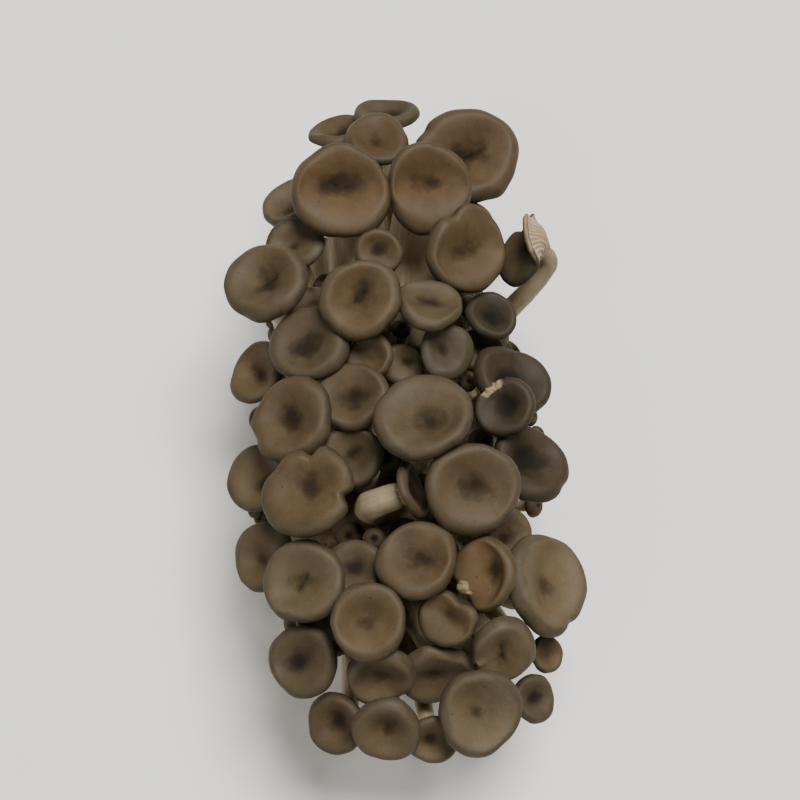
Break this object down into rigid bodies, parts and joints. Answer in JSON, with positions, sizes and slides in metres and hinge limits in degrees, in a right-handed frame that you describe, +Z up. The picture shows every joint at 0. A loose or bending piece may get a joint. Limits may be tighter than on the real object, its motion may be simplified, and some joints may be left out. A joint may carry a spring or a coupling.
{
  "type": "shimeji mushroom cluster",
  "caption": "Cluster of small grey-brown funnel-capped mushrooms on pale stems that grow from one cut butt; stands on its flat underside.",
  "frame": {"origin": "on the ground plane under the middle of the cluster's box, in the cut underside of the butt", "axes": "+Z up, +Y along the cluster's long side, +X across it"},
  "size_m": [0.0752, 0.1544, 0.0581],
  "materials": {
    "cap_skin": "moist grey-brown mushroom skin, darker in the hollow of the cap",
    "stem_flesh": "matt cream mushroom flesh with fine lengthwise fibres"
  },
  "bodies": {
    "root": {"cap_01": "cap_skin", "cap_02": "cap_skin", "cap_03": "cap_skin", "cap_04": "cap_skin", "cap_05": "cap_skin", "cap_06": "cap_skin", "cap_07": "cap_skin", "cap_08": "cap_skin", "cap_09": "cap_skin", "cap_10": "cap_skin", "cap_11": "cap_skin", "cap_12": "cap_skin", "cap_13": "cap_skin", "cap_14": "cap_skin", "cap_15": "cap_skin", "cap_16": "cap_skin", "cap_17": "cap_skin", "cap_18": "cap_skin", "cap_19": "cap_skin", "cap_20": "cap_skin", "cap_21": "cap_skin", "cap_22": "cap_skin", "cap_23": "cap_skin", "cap_24": "cap_skin", "cap_25": "cap_skin", "cap_26": "cap_skin", "cap_27": "cap_skin", "cap_28": "cap_skin", "cap_29": "cap_skin", "cap_30": "cap_skin", "cap_31": "cap_skin", "cap_32": "cap_skin", "cap_33": "cap_skin", "cap_34": "cap_skin", "cap_35": "cap_skin", "cap_36": "cap_skin", "cap_37": "cap_skin", "cap_38": "cap_skin", "cap_39": "cap_skin", "cap_40": "cap_skin", "cap_41": "cap_skin", "cap_42": "cap_skin", "cap_43": "cap_skin", "cap_44": "cap_skin", "cap_45": "cap_skin", "cap_46": "cap_skin", "cap_47": "cap_skin", "cap_48": "cap_skin", "cap_49": "cap_skin", "cap_50": "cap_skin", "cap_51": "cap_skin", "cap_52": "cap_skin", "cap_53": "cap_skin", "cap_54": "cap_skin", "cap_55": "cap_skin", "cap_56": "cap_skin", "cap_57": "cap_skin", "stems_and_butt": "stem_flesh"}
  },
  "joints": []
}
